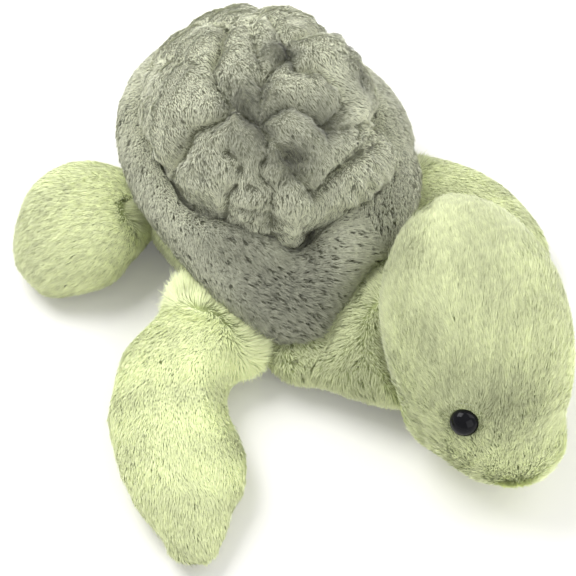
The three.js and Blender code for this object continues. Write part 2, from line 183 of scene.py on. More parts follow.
def swell(middle, radii, turn=0.0, out=(0, 0, 1)):
    """An egg of stuffing, in millimetres: its third radius lies along out, and turn is degrees round that."""
    aim = Vector(out).to_track_quat("Z", "Y") @ Matrix.Rotation(math.radians(turn), 4, "Z").to_quaternion()
    bpy.ops.mesh.primitive_uv_sphere_add(
        segments=20, ring_count=12, radius=1, location=Vector(middle) * MM, rotation=aim.to_euler(),
        scale=Vector(radii) * MM)
    return bpy.context.active_object


def joined(name, parts):
    """Several objects as one, at the origin, unturned and unscaled."""
    whole = pick(*parts)
    bpy.ops.object.join()
    bpy.ops.object.transform_apply(location=True, rotation=True, scale=True)
    whole.name = name
    whole.data.name = name
    return whole


def sewn_skin(name, nodes, stuffing=(), smooth=3, puff=0.6):
    """One closed skin round CAD nodes and eggs of stuffing, which swells and is then made finer."""
    skin = joined(name, [copy_of(node) for node in nodes] + list(stuffing))
    apply_modifier(skin, "REMESH", mode="VOXEL", voxel_size=settings("turtle_form").step, adaptivity=0)
    keep_largest(skin)
    apply_modifier(skin, "SMOOTH", factor=0.5, iterations=smooth)
    stuff(skin)
    apply_modifier(skin, "SUBSURF", levels=2)
    if puff:
        apply_modifier(skin, "DISPLACE", strength=puff * MM, mid_level=0)
    pick(skin)
    bpy.ops.object.shade_smooth()
    return skin


CLOTH = {
    "use_pressure": True, "quality": 5, "mass": 0.3, "tension_stiffness": 12, "compression_stiffness": 12,
    "bending_stiffness": 0.4,
}
CLOTH_FRAMES = 12


def stuff(skin):
    """Blows the skin up as cloth, and caps how far it may give."""
    form = settings("turtle_form")
    before = points_of(skin.data)
    scene = bpy.context.scene
    scene.frame_set(1)
    cloth = skin.modifiers.new("Stuffing", "CLOTH")
    for name, value in CLOTH.items():
        setattr(cloth.settings, name, value)
    cloth.settings.uniform_pressure_force = form.pressure
    cloth.settings.effector_weights.gravity = 0
    for number in range(1, CLOTH_FRAMES + 1):
        scene.frame_set(number)
    pick(skin)
    bpy.ops.object.modifier_apply(modifier=cloth.name)
    scene.frame_set(1)
    moved = points_of(skin.data) - before
    far = np.linalg.norm(moved, axis=1, keepdims=True)
    moved *= form.give * np.tanh(far / form.give) / np.maximum(far, 1e-9)
    normals = normals_of(skin.data)
    moved -= normals * (moved * normals).sum(1).mean()
    move_points(skin, before + moved)


def move_points(obj, places):
    obj.data.vertices.foreach_set("co", np.ascontiguousarray(places).ravel())
    obj.data.update()


def keep_largest(obj):
    """Deletes every loose island but the largest."""
    mesh = obj.data
    island = np.arange(len(mesh.vertices))
    edges = np.empty(len(mesh.edges) * 2, np.int32)
    mesh.edges.foreach_get("vertices", edges)
    edges = edges.reshape(-1, 2)
    while True:
        low = np.minimum(island[edges[:, 0]], island[edges[:, 1]])
        before = island.copy()
        np.minimum.at(island, edges[:, 0], low)
        np.minimum.at(island, edges[:, 1], low)
        island = island[island]
        if np.array_equal(before, island):
            break
    names, sizes = np.unique(island, return_counts=True)
    loose = island != names[sizes.argmax()]
    if not loose.any():
        return
    pick(obj)
    bpy.ops.object.mode_set(mode="EDIT")
    bpy.ops.mesh.select_all(action="DESELECT")
    bpy.ops.object.mode_set(mode="OBJECT")
    mesh.vertices.foreach_set("select", loose)
    bpy.ops.object.mode_set(mode="EDIT")
    bpy.ops.mesh.delete(type="VERT")
    bpy.ops.object.mode_set(mode="OBJECT")


def points_of(mesh, value="co"):
    values = np.empty(len(mesh.vertices) * 3)
    mesh.vertices.foreach_get(value, values)
    return values.reshape(-1, 3)


def normals_of(mesh):
    return points_of(mesh, "normal")


def tree_of(obj):
    mesh = obj.data
    return BVHTree.FromPolygons([v.co for v in mesh.vertices], [p.vertices for p in mesh.polygons])


# Pile

NAP_WAVES = (22 * MM, 8 * MM)  # sizes over which the nap wanders
TONE_WAVES = (30 * MM, 4 * MM)  # sizes over which the pile's tone wanders
FLUFF_WAVE = 40 * MM  # size over which the pile clumps more or less
CLUMPS_PER_CM2, CLUMPING = 8, 0.08  # how many clumps, and how far their locks are drawn together
PARTED_LENGTH, SHADED_PARTING_TONE = 0.3, 0.1  # what is left of a lock's length and tone in a parting or fold; the lower tone is painted shade
LEAN_SPREAD = 7  # degrees
RAISED = 0.65  # share of its lean that a lock loses where the pile is held upright
ROOT_DEPTH = 0.3 * MM


def unit(vectors):
    return vectors / np.maximum(np.linalg.norm(vectors, axis=1, keepdims=True), 1e-9)


def flat_on(vectors, normals):
    """Vectors laid on the surface."""
    return unit(vectors - normals * (vectors * normals).sum(1, keepdims=True))


def drift(points, size, seed):
    """A smooth wandering direction at each point, which changes over about size metres."""
    rng = np.random.default_rng(seed)
    waves = unit(rng.normal(size=(8, 3))) * (2 * math.pi / size) * rng.uniform(0.6, 1.5, (8, 1))
    swing = np.sin(points @ waves.T + rng.uniform(0, 2 * math.pi, 8))
    return swing @ rng.normal(size=(8, 3)) / math.sqrt(8)


def nearest(points, centres):
    """The index of each point's nearest centre, and its distance."""
    tree = KDTree(len(centres))
    for i, centre in enumerate(centres):
        tree.insert(centre, i)
    tree.balance()
    found = [tree.find(point) for point in points]
    return np.array([f[1] for f in found]), np.array([f[2] for f in found])


def area_of(skin):
    return sum(face.area for face in skin.data.polygons)


def sow(skin, count, rng):
    """Evenly sown roots on a skin, with its normals there."""
    mesh = skin.data
    mesh.calc_loop_triangles()
    places = points_of(mesh)
    corners = np.empty(len(mesh.loop_triangles) * 3, np.int32)
    mesh.loop_triangles.foreach_get("vertices", corners)
    corners = corners.reshape(-1, 3)
    normals = normals_of(mesh)
    a, b, c = (places[corners[:, i]] for i in range(3))
    area = np.linalg.norm(np.cross(b - a, c - a), axis=1) / 2
    chosen = np.searchsorted(np.cumsum(area), (np.arange(count) + rng.random(count)) / count * area.sum())
    chosen = corners[np.minimum(chosen, len(corners) - 1)]
    u, v = rng.random((2, count))
    over = u + v > 1
    u, v = np.where(over, 1 - u, u), np.where(over, 1 - v, v)
    share = np.stack([1 - u - v, u, v], axis=1)[:, :, None]
    return (places[chosen] * share).sum(1), unit((normals[chosen] * share).sum(1))


def outside(points, others):
    """Which points lie outside the other skins, by more than a little."""
    free = np.ones(len(points), bool)
    for other in others:
        tree = tree_of(other)
        low, high = points_of(other.data).min(0), points_of(other.data).max(0)
        near = np.flatnonzero(((points > low) & (points < high)).all(1))
        for i in near:
            place, normal, _, far = tree.find_nearest(points[i])
            inside = (Vector(points[i]) - place).dot(normal) < 0
            if inside and far > CLEARANCE:
                free[i] = False
    return free


def cracks(roots, normals, way, chance, size, rng):
    """Thin partings that run roughly with the nap, on both sides of some of the roots.

    Returns points along them, and how wide they are there. size scales them.
    """
    chosen = np.flatnonzero(rng.random(len(roots)) < chance)
    half = size * MM * (0.3 + 2.0 * rng.random(len(chosen)) ** 2)
    wide = size * MM * (0.35 + 0.6 * rng.random(len(chosen)))
    steps = np.linspace(-1, 1, 9)[:, None]
    along = flat_on(way[chosen] + 0.6 * rng.normal(size=(len(chosen), 3)), normals[chosen])
    points = roots[chosen] + (steps * half)[:, :, None] * along
    return points.reshape(-1, 3), (wide * (1 - 0.7 * steps ** 2)).ravel()


def grow_pile(skin, name, nap, *, length, seed, count, partings, tone, parting_size=1.0, folds=None, clear_of=(),
              lean=(44, 68), wander=0.2, trim=None, thin=None, upright=None, halves=None):
    """Locks of pile on a skin. nap(roots, normals) gives the way that they are brushed.

    lean is the angle of a lock's lower and upper half from upright, less where upright(roots) nears 1. The pile
    is short, and painted dark as shade, in the partings, which are partings(roots) thin cracks to a square
    centimetre, and in the folds, given as points and widths. trim(roots, normals) shortens it, thin(roots,
    normals) is the share of roots that grow, and none grow inside the skins in clear_of. halves, a point and a
    direction, parts the pile in a left and a right piece.
    """
    width = settings("turtle_pile").width
    rng = np.random.default_rng(settings("turtle_stage").seed * 1000 + seed)
    roots, normals = sow(skin, count, rng)
    per_cm2 = len(roots) / (area_of(skin) * 1e4)
    keep = outside(roots, clear_of)
    if thin is not None:
        keep &= rng.random(len(roots)) < thin(roots, normals)
    roots, normals = roots[keep], normals[keep]
    count = len(roots)
    way = flat_on(unit(nap(roots, normals)) + wander * drift(roots, NAP_WAVES[0], seed)
                  + 0.6 * wander * drift(roots, NAP_WAVES[1], seed + 1), normals)
    long = length * rng.uniform(0.75, 1.1, count) * np.where(rng.random(count) < 0.03, 1.3, 1)
    if trim is not None:
        long *= trim(roots, normals)
    across = (tone(roots) + 0.06 * drift(roots, TONE_WAVES[0], seed + 2)[:, 0]
              + 0.05 * drift(roots, TONE_WAVES[1], seed + 4)[:, 0])

    gaps, widths = cracks(roots, normals, way, partings(roots) / per_cm2, parting_size, rng)
    if folds:
        gaps, widths = np.concatenate([gaps, folds[0]]), np.concatenate([widths, folds[1]])
    at, far = nearest(roots, gaps)
    rim = np.clip(far / widths[at], 0, 1)
    away = flat_on(roots - gaps[at], normals) * (1 - rim[:, None])
    way = flat_on(way + 0.9 * away, normals)
    at, far = nearest(roots + 0.45 * long[:, None] * way, gaps)  # locks that would hide a parting are shorter
    long *= (PARTED_LENGTH + (1 - PARTED_LENGTH) * rim) * (0.5 + 0.5 * np.clip(far / widths[at], 0, 1))
    # painted shade: locks in a parting or fold are darkened as if in shadow
    across *= SHADED_PARTING_TONE + (1 - SHADED_PARTING_TONE) * rim ** 1.5

    stand = 1 if upright is None else 1 - RAISED * upright(roots)[:, None]
    low, high = (np.radians(angle + LEAN_SPREAD * rng.normal(size=(count, 1))) * stand for angle in lean)
    middle = roots + (long[:, None] / 2) * (np.cos(low) * normals + np.sin(low) * way)
    tip = middle + (long[:, None] / 2) * (np.cos(high) * normals + np.sin(high) * way)
    lead = np.flatnonzero(rng.random(count) < CLUMPS_PER_CM2 / per_cm2)
    at, _ = nearest(roots, roots[lead])
    fluffy = np.clip(0.6 + 0.8 * drift(roots, FLUFF_WAVE, seed + 3)[:, :1], 0.15, 1.4)
    pull = CLUMPING * fluffy * rng.uniform(0.4, 1.2, (count, 1))
    tip += (tip[lead][at] - tip) * pull
    middle += (middle[lead][at] - middle) * pull * 0.4
    root = roots - ROOT_DEPTH * normals
    if halves is None:
        return [locks(name, root, middle, tip, normals, width, rng, across)]
    side = (roots - np.array(halves[0])) @ np.array(halves[1]) > 0
    return [
        locks(f"{name}_{half}", root[part], middle[part], tip[part], normals[part], width, rng, across[part])
        for half, part in (("left", side), ("right", ~side))
    ]


def locks(name, roots, middle, tip, normals, width, rng, tone):
    """Each lock as two faces that taper both ways, rounded by the skin's normals and mapped by tone and height."""
    count = len(roots)
    side = unit(np.cross(tip - roots, normals))
    side = unit(side + 0.35 * rng.normal(size=(count, 1)) * normals)
    half = width / 2 * rng.uniform(0.7, 1.3, (count, 1)) * side
    points = np.stack([roots, middle - half, middle + half, tip], axis=1)
    faces = np.array([[0, 2, 1], [1, 2, 3]])
    corners = (np.arange(count)[:, None, None] * 4 + faces).ravel()
    mesh = bpy.data.meshes.new(name)
    mesh.vertices.add(count * 4)
    mesh.vertices.foreach_set("co", points.ravel())
    mesh.loops.add(len(corners))
    mesh.loops.foreach_set("vertex_index", corners)
    mesh.polygons.add(count * 2)
    mesh.polygons.foreach_set("loop_start", np.arange(count * 2) * 3)
    mesh.polygons.foreach_set("use_smooth", np.ones(count * 2, bool))
    mesh.update()
    across = np.clip(tone + 0.05 * rng.normal(size=count), 0.02, 0.98)
    places = np.stack([np.repeat(across, 4), np.tile([0.02, 0.5, 0.5, 0.98], count)], axis=1)
    mesh.uv_layers.new(name=PILE_MAP).data.foreach_set("uv", places[corners].ravel())
    face_out = unit(normals + 0.08 * rng.normal(size=(count, 3)))
    mesh.normals_split_custom_set_from_vertices(np.repeat(face_out, 4, axis=0))
    obj = bpy.data.objects.new(name, mesh)
    bpy.context.scene.collection.objects.link(obj)
    return obj


# Materials

def new_material(name):
    material = bpy.data.materials.new(name)
    material.use_nodes = True
    nodes = material.node_tree.nodes
    return material, nodes, material.node_tree.links, nodes["Principled BSDF"]


def finish_of(bsdf, **values):
    for name, value in values.items():
        bsdf.inputs[name.replace("_", " ")].default_value = value


def node_group(name, build, inputs, outputs):
    """A shader node group with these sockets. build(nodes, links, given, wanted) fills it, once."""
    if name in bpy.data.node_groups:
        return bpy.data.node_groups[name]
    group = bpy.data.node_groups.new(name, "ShaderNodeTree")
    for way, sockets in (("INPUT", inputs), ("OUTPUT", outputs)):
        for label, kind in sockets.items():
            group.interface.new_socket(label, in_out=way, socket_type=f"NodeSocket{kind}")
    given, wanted = group.nodes.new("NodeGroupInput").outputs, group.nodes.new("NodeGroupOutput").inputs
    build(group.nodes, group.links, given, wanted)
    return group


def pile_colour(nodes, links, given, wanted):
    """Pile colour from root to tip, scaled by a lock's tone: its own random variation plus painted light and shade.
    """
    rise = nodes.new("ShaderNodeMapRange")
    rise.interpolation_type = "SMOOTHSTEP"
    rise.inputs["From Max"].default_value = 0.6
    body = nodes.new("ShaderNodeMix")
    body.data_type = "RGBA"
    tone = nodes.new("ShaderNodeMapRange")
    tone.inputs["To Min"].default_value = 0.12
    tone.inputs["To Max"].default_value = 1.28
    shade = nodes.new("ShaderNodeVectorMath")
    shade.operation = "SCALE"
    links.new(given["Height"], rise.inputs["Value"])
    links.new(rise.outputs["Result"], body.inputs["Factor"])
    links.new(given["Root"], body.inputs["A"])
    links.new(given["Tip"], body.inputs["B"])
    links.new(given["Tone"], tone.inputs["Value"])
    links.new(body.outputs["Result"], shade.inputs[0])
    links.new(tone.outputs["Result"], shade.inputs["Scale"])
    links.new(shade.outputs["Vector"], wanted["Colour"])


def mottle(nodes, links, given, wanted):
    """A colour that wanders between two over a piece, and the noise that does it."""
    noise = nodes.new("ShaderNodeTexNoise")
    spread = nodes.new("ShaderNodeMapRange")
    blend = nodes.new("ShaderNodeMix")
    blend.data_type = "RGBA"
    for label, node, socket in (
            ("Place", noise, "Vector"), ("Scale", noise, "Scale"), ("Detail", noise, "Detail"),
            ("Low", spread, "From Min"), ("High", spread, "From Max"), ("Dark", blend, "A"), ("Pale", blend, "B")):
        links.new(given[label], node.inputs[socket])
    links.new(noise.outputs["Fac"], spread.inputs["Value"])
    links.new(spread.outputs["Result"], blend.inputs["Factor"])
    links.new(blend.outputs["Result"], wanted["Colour"])
    links.new(noise.outputs["Fac"], wanted["Noise"])


def mottled(nodes, links, bsdf, dark, pale, scale, detail=2.0, low=0.0, high=1.0):
    """Gives a shader a mottled base colour, and returns the output of the noise behind it."""
    where = nodes.new("ShaderNodeTexCoord")
    colour = nodes.new("ShaderNodeGroup")
    colour.node_tree = node_group(
        "Mottle", mottle,
        {"Place": "Vector", "Scale": "Float", "Detail": "Float", "Low": "Float", "High": "Float", "Dark": "Color",
         "Pale": "Color"},
        {"Colour": "Color", "Noise": "Float"})
    values = {"Scale": scale, "Detail": detail, "Low": low, "High": high, "Dark": (*dark, 1), "Pale": (*pale, 1)}
    for label, value in values.items():
        colour.inputs[label].default_value = value
    links.new(where.outputs["Object"], colour.inputs["Place"])
    links.new(colour.outputs["Colour"], bsdf.inputs["Base Color"])
    return colour.outputs["Noise"]


def pile_material(name, root, tip):
    """The pile reads its own map: tone across and height up."""
    if name in bpy.data.materials:
        return bpy.data.materials[name]
    material, nodes, links, bsdf = new_material(name)
    finish_of(bsdf, Roughness=0.85, Sheen_Weight=0.35, Sheen_Roughness=0.45, Specular_IOR_Level=0.15)
    where = nodes.new("ShaderNodeUVMap")
    where.uv_map = PILE_MAP
    split = nodes.new("ShaderNodeSeparateXYZ")
    colour = nodes.new("ShaderNodeGroup")
    colour.node_tree = node_group(
        "Pile colour", pile_colour, {"Root": "Color", "Tip": "Color", "Tone": "Float", "Height": "Float"},
        {"Colour": "Color"})
    colour.inputs["Root"].default_value = (*root, 1)
    colour.inputs["Tip"].default_value = (*tip, 1)
    links.new(where.outputs["UV"], split.inputs["Vector"])
    links.new(split.outputs["X"], colour.inputs["Tone"])
    links.new(split.outputs["Y"], colour.inputs["Height"])
    links.new(colour.outputs["Colour"], bsdf.inputs["Base Color"])
    return material


def backing_material(name, colour):
    """The knitted cloth under the pile, mottled, darker than the root as painted shade in the pits, finely rough.
    """
    if name in bpy.data.materials:
        return bpy.data.materials[name]
    material, nodes, links, bsdf = new_material(name)
    finish_of(bsdf, Roughness=0.95, Sheen_Weight=0.3, Sheen_Roughness=0.5, Specular_IOR_Level=0.1)
    # painted shade: the mottle's dark end, 0.6 of the root colour, stands for the shade in the pits between the
    # locks
    noise = mottled(nodes, links, bsdf, [c * 0.6 for c in colour], colour, scale=260, detail=4, low=0.3, high=0.75)
    bump = nodes.new("ShaderNodeBump")
    bump.inputs["Strength"].default_value = 0.6
    bump.inputs["Distance"].default_value = 0.6 * MM
    links.new(noise, bump.inputs["Height"])
    links.new(bump.outputs["Normal"], bsdf.inputs["Normal"])
    return material


def dress(skin, piles, grey):
    values = settings("turtle_pile")
    root, tip = (values.grey_root, values.grey_tip) if grey else (values.green_root, values.green_tip)
    kind = "Grey" if grey else "Green"
    skin.data.materials.clear()
    skin.data.materials.append(backing_material(f"{kind} backing cloth", tuple(root)))
    for pile in piles:
        pile.data.materials.append(pile_material(f"{kind} pile", tuple(root), tuple(tip)))


# The turtle's own forms, in millimetres

LIMBS = {
    "right_front_flipper": {
        "stuffing": [
            ((-69, -13, 18), (19, 23, 13), 0), ((-52, -22, 15), (14, 21, 12), 0), ((-72, -38, 13), (16, 17, 11), 0),
            ((-120, -78, 12), (16, 30, 10), -35), ((-153, -100, 9), (15, 15, 8), -33),
        ],
        "tufts": [(-77, -6, 26), (-73, -15, 27), (-70, -23, 26), (-69, -31, 25), (-70, -39, 24), (-72, -46, 22)],
        "seam": ((-52, -22, 14), (-84, -24, 14)),
        "line": [(-52, -20), (-80, -23), (-106, -30), (-125, -50), (-139, -78), (-160, -111)],
        "locks": 96000,
        # painted light: this flipper's pile is set lighter than the others'
        "tone": 0.86,
        "puff": 0.2,
    },
    "left_front_flipper": {
        "stuffing": [((56, -27, 14), (22, 23, 12), 40), ((46, -18, 15), (14, 19, 12), 40)],
        "tufts": [(62, -14, 26)],
        "seam": ((46, -16, 14), (66, -38, 14)),
        "line": [(43, -14), (62, -30), (66, -57), (62, -86), (50, -112)],
        "locks": 60000,
        "tone": 0.72,
        "puff": -0.6,
    },
    "right_hind_flipper": {
        "stuffing": [
            ((-62, 64, 17), (20, 22, 14), 0), ((-53, 60, 17), (13, 19, 11), 0), ((-74, 92, 16), (28, 19, 12), -5),
            ((-104, 58, 12), (22, 18, 10), 0),
        ],
        "pinches": [((-72, 32, 12), 14, 9)],
        "tufts": [(-66, 50, 30)],
        "seam": ((-50, 55, 16), (-80, 62, 16)),
        "line": [(-42, 52), (-68, 60), (-93, 68), (-122, 76)],
        "locks": 76000,
        "tone": 0.74,
        "puff": 0.2,
    },
    "left_hind_flipper": {
        "stuffing": [((48, 68, 17), (26, 21, 15), 40), ((40, 58, 18), (20, 15, 14), 40)],
        "tufts": [(56, 62, 30)],
        "seam": ((38, 56, 16), (58, 80, 16)),
        "line": [(36, 50), (53, 72), (68, 95), (82, 118)],
        "locks": 48000,
        "tone": 0.7,
        "puff": -0.2,
    },
}

# The creases that quilt the dome: how deep, from 0 to 1, and where they run
CREASES = [
    (0.3, [(-21, 88, 67), (-21, 65, 91), (-20, 46, 103), (-20, 36, 104)]),
    (1.0, [(7, 58, 104), (-9, 46, 106), (-18, 40, 102), (-24, 30, 103), (-26, 20, 102), (-24, 1, 102)]),
    (1.0, [(-27, 17, 101), (-31, 16, 98), (-39, 26, 88), (-47, 26, 77), (-54, 33, 60)]),
    (0.8, [(-39, 6, 90), (-38, -1, 89), (-41, -5, 81), (-46, -3, 74), (-52, -5, 60)]),
    (0.6, [(13, 48, 110), (2, 32, 112), (-5, 21, 111), (-14, 10, 103), (-24, 1, 102)]),
    (0.9, [(26, 50, 102), (16, 27, 109), (12, 20, 105), (-2, 18, 107), (-10, 16, 107)]),
    (1.0, [(12, 20, 105), (9, 10, 111), (19, 6, 103), (21, -3, 95), (20, -7, 89), (2, -11, 90)]),
    (0.9, [(24, 27, 109), (46, 35, 86), (56, 24, 70), (59, 13, 58), (52, 0, 59), (29, -12, 75)]),
    (0.8, [(2, -11, 90), (-1, -6, 96), (-7, 0, 101), (-16, 2, 102), (-24, 1, 102)]),
    (0.9, [(-24, 1, 102), (-23, -5, 97), (-29, -9, 92), (-34, -10, 86)]),
    (0.8, [(-23, -5, 97), (-23, -14, 96), (-22, -18, 91), (-21, -22, 84), (-15, -27, 68)]),
    (1.0, [(-15, -25, 71), (-6, -21, 71), (9, -20, 66), (23, -19, 60)]),
    (0.8, [(9, -20, 66), (23, -17, 64), (29, -12, 75), (34, -14, 62)]),
    (0.9, [(-34, -10, 86), (-33, -18, 79), (-38, -22, 67), (-39, -25, 57)]),
    (0.7, [(-38, -1, 89), (-39, -9, 81), (-33, -18, 79)]),
    (0.7, [(2, -11, 90), (12, -14, 85), (29, -12, 75)]),
    (0.45, [(-21, 65, 91), (-36, 72, 74), (-44, 76, 60)]),
    (0.45, [(7, 58, 104), (2, 76, 88), (0, 92, 62)]),
    (0.45, [(13, 48, 110), (30, 60, 92), (38, 80, 64)]),
    (0.45, [(46, 35, 86), (54, 48, 66)]),
]
# Lobes that stand higher: place, reach and height
SWELLS = [
    ((-38, 42, 88), 24, 3), ((4, 4, 110), 14, 3), ((34, 16, 98), 18, 4), ((40, -14, 62), 10, 4),
    ((-47, 14, 82), 12, 2), ((4, -26, 64), 10, 2), ((-28, -27, 66), 10, 2), ((0, 45, 110), 18, 3),
]
# Hollows where a stitch is drawn in: place, reach and depth
HOLLOWS = [
    ((-44, 28, 83), 9, 6), ((-22, -17, 92), 4.5, 6), ((4, -11, 89), 5, 6), ((-38, -22, 66), 6, 5),
    ((-25, 19, 101), 5, 5), ((-24, 2, 103), 5, 4), ((-12, 18, 108), 4, 3), ((-20, 16, 106), 4, 3),
    ((-10, 12, 104), 4, 3), ((-45, 7, 83), 4, 3), ((-46, 1, 78), 4, 3), ((-44, 14, 86), 3.5, 2.5),
    ((-44, -12, 70), 6, 4), ((-17, -25, 74), 5, 4), ((-52, 4, 62), 7, 3), ((14, 23, 107), 4.5, 3),
]
# Where the dome meets the edge roll
DOME_FOOT = [
    (-43, 56, 61), (-49, 43, 59), (-50, 33, 60), (-54, 23, 56), (-53, 6, 60), (-50, -4, 62), (-44, -17, 60),
    (-40, -24, 56), (-23, -34, 55), (0, -36, 58), (6, -37, 58), (19, -37, 57),
]
SEWN_BELOW, SEWN_FADE = 54 * MM, 18 * MM  # the dome is sewn down below this height, and free a little above it
FOOT_RISE = 3 * MM  # how far the sewn part still stands out

# Where the dome's pile is most crumpled, with a little painted shade, and where more shade is painted on it: place
# and reach
RUFFLED = [
    ((-47, 10, 82), 12), ((-14, 22, 108), 12), ((-40, -18, 72), 12), ((8, -26, 64), 12), ((-22, -18, 90), 12),
]
DOME_PAINTED_SHADE = [
    ((-22, 4, 100), 19), ((-20, -20, 94), 15), ((2, -10, 94), 16), ((8, 24, 108), 12), ((34, 0, 90), 11),
    ((46, 24, 88), 11),
]
# Where shade is painted on the roll's pile, at its tip and on its left front, and where it is more cracked: place
# and reach
SHADED_TIP = [((-42, -50, 38), 32)]
SHADED_FRONT = [((-50, -14, 52), 22)]
CRACKED = [((-42, -52, 36), 26), ((8, -48, 48), 18)]

UNDER_THE_ROLL = 38 * MM  # above this height the roll hides the belly
BEHIND_THE_ROLL = 48 * MM  # below this height the roll hides the dome
TUFT_REACH = 8  # millimetres round each of a flipper's tufts
TIP_REACH = 45 * MM  # the part of a flipper that counts as its tip


def share_of(points, place, reach):
    """Distances from a place as shares of a reach, both in millimetres."""
    return np.linalg.norm(points - np.array(place) * MM, axis=1) / (reach * MM)


def hump(points, place, reach, height):
    """Heights of a round hump, which falls off over its reach."""
    return height * MM * np.exp(-share_of(points, place, reach) ** 2)


def crowding(points, spots):
    """1 at the nearest of some spots, given as place and reach, falling to 0 beyond its reach."""
    return np.exp(-np.min([share_of(points, *spot) for spot in spots], axis=0) ** 2)


def lowness(points, top, fall):
    """0 above a height, rising to 1 as far below it as fall, both in millimetres."""
    return np.clip((top * MM - points[:, 2]) / (fall * MM), 0, 1)


def along(line, points):
    """The heading of a plan line at the place nearest to each point."""
    line = np.array(line, float) * MM
    a, b = line[:-1], line[1:]
    step = b - a
    where = np.clip(((points[:, None, :2] - a) * step).sum(2) / (step ** 2).sum(1), 0, 1)
    far = np.linalg.norm(points[:, None, :2] - (a + where[..., None] * step), axis=2)
    weight = 1 / (far + 8 * MM) ** 3  # eases one stretch of the line into the next
    course = (weight[..., None] * unit(step)).sum(1)
    return np.column_stack([unit(course), np.zeros(len(points))])


def tip_share(line, points):
    """1 at the far end of a flipper's line, falling to 0 at TIP_REACH from it."""
    far = np.linalg.norm(points[:, :2] - np.array(line[-1]) * MM, axis=1)
    return np.clip(1 - far / TIP_REACH, 0, 1)


def on_surface(obj, points):
    tree = tree_of(obj)
    return np.array([tree.find_nearest(Vector(point))[0] for point in points])


def crease_line(skin, line):
    """Points every millimetre along a crease, laid on the skin."""
    line = np.array(line, float) * MM
    points = []
    for a, b in zip(line[:-1], line[1:]):
        count = max(int(np.linalg.norm(b - a) / MM), 1)
        points += [a + (b - a) * i / count for i in range(count)]
    return on_surface(skin, [*points, line[-1]])


def quilt(skin):
    """Draws the creases in and lets the lobes stand up between them. Returns the creases' points and depths."""
    form = settings("turtle_form")
    lines = [crease_line(skin, line) for _, line in CREASES]
    creases = np.concatenate(lines)
    depths = np.repeat([depth for depth, _ in CREASES], [len(line) for line in lines])
    places = points_of(skin.data)
    normals = normals_of(skin.data)
    at, far = nearest(places, creases)
    slope = 1 - np.sqrt(np.clip(1 - (1 - np.clip(far / form.quilt_reach, 0, 1)) ** 2, 0, 1))
    rise = form.quilt_rise * (1 - depths[at] * slope)
    for swelling in SWELLS:
        rise += hump(places, *swelling)
    free = np.clip((places[:, 2] - SEWN_BELOW) / SEWN_FADE, 0, 1)
    rise = FOOT_RISE + (rise - FOOT_RISE) * free
    for hollow in HOLLOWS:
        rise -= hump(places, *hollow)
    rise += (0.7 * MM * drift(places, 9 * MM, 91)[:, 0]
             + 1.1 * MM * crowding(places, RUFFLED) * drift(places, 5 * MM, 92)[:, 0])
    move_points(skin, places + rise[:, None] * normals)
    apply_modifier(skin, "SMOOTH", factor=0.4, iterations=2)
    return creases, depths


def pinch(skin, spots):
    """Presses hollows into a skin: place, reach and depth."""
    places = points_of(skin.data)
    normals = normals_of(skin.data)
    for spot in spots:
        places -= normals * hump(places, *spot)[:, None]
    move_points(skin, places)


def flatten_under(skin):
    """Presses flat what would sink into the surface that the turtle rests on."""
    places = points_of(skin.data)
    places[:, 2] = np.maximum(places[:, 2], REST_HEIGHT)
    move_points(skin, places)


def pressed(points, normals):
    """Short pile where the toy lies on it."""
    return np.clip((points[:, 2] - 0.2 * MM) / (7 * MM), 0.12, 1)


def thin_beneath(points, normals):
    """Half as much pile on the underside."""
    return np.where(normals[:, 2] < -0.8, 0.5, 1)


def evenly(value):
    """The same value everywhere."""
    return lambda points: np.full(len(points), float(value))


def heading(direction):
    """A nap that is brushed one way all over."""
    return lambda points, normals: np.tile(direction, (len(points), 1))


class TURTLE_OT_belly(bpy.types.Operator):
    """Makes the green belly"""

    bl_idname = "turtle.make_belly"
    bl_label = "Belly"

    def execute(self, context):
        nodes = ["belly_cover", "body_filling"]
        skin = sewn_skin("belly_skin", nodes, puff=-2)
        flatten_under(skin)
        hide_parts(*nodes, "pellet_bag")
        piles = grow_pile(
            skin, "belly_pile", heading([0, 0.3, -1.0]), length=settings("turtle_pile").green_length, seed=10,
            count=50000, partings=evenly(1.5), tone=evenly(0.5), trim=pressed,
            thin=lambda p, n: np.where(p[:, 2] > UNDER_THE_ROLL, 0, thin_beneath(p, n)))
        dress(skin, piles, grey=False)
        for piece in (skin, *piles):
            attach(piece, "body")
        return {"FINISHED"}


class TURTLE_OT_shell(bpy.types.Operator):
    """Makes the quilted dome of the shell"""

    bl_idname = "turtle.make_shell"
    bl_label = "Quilted shell"

    def execute(self, context):
        stuffing = [swell((6, -20, 57), (34, 16, 13))]
        skin = sewn_skin("shell_skin", ["shell_filling"], stuffing, smooth=8, puff=0)
        creases, depths = quilt(skin)
        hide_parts("shell_cover", "shell_filling", "shell_lining",
                    *[f"tuft_thread_{i}" for i in range(1, 6)])
        creases = on_surface(skin, creases)

        def brushed(points, normals):
            at, far = nearest(points, creases)
            opened = unit(points - creases[at]) * np.exp(-(far / (3.5 * MM)) ** 2)[:, None]
            return opened * 1.6 + drift(points, 45 * MM, 21) * 0.4 + [-0.15, -0.9, -0.5]

        drawn_in = [(place, reach + 1) for place, reach, _ in HOLLOWS]
        piles = grow_pile(
            skin, "shell_pile", brushed, length=settings("turtle_pile").quilt_length, seed=20, count=125000,
            partings=lambda p: 0.6 + 12 * crowding(p, RUFFLED) + 6 * crowding(p, drawn_in),
            # painted shade: the dome's pile is darker where it is crumpled, in the drawn-in hollows, and most at
            # the spots painted dark
            tone=lambda p: (0.88 - 0.12 * crowding(p, RUFFLED) - 0.2 * crowding(p, drawn_in)
                            - 0.6 * crowding(p, DOME_PAINTED_SHADE)),
            folds=(creases, (0.6 + 0.9 * depths) * MM), lean=(58, 78),
            thin=lambda p, n: np.where(p[:, 2] < BEHIND_THE_ROLL, 0, 1))
        dress(skin, piles, grey=True)
        for piece in (skin, *piles):
            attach(piece, "body")
        return {"FINISHED"}


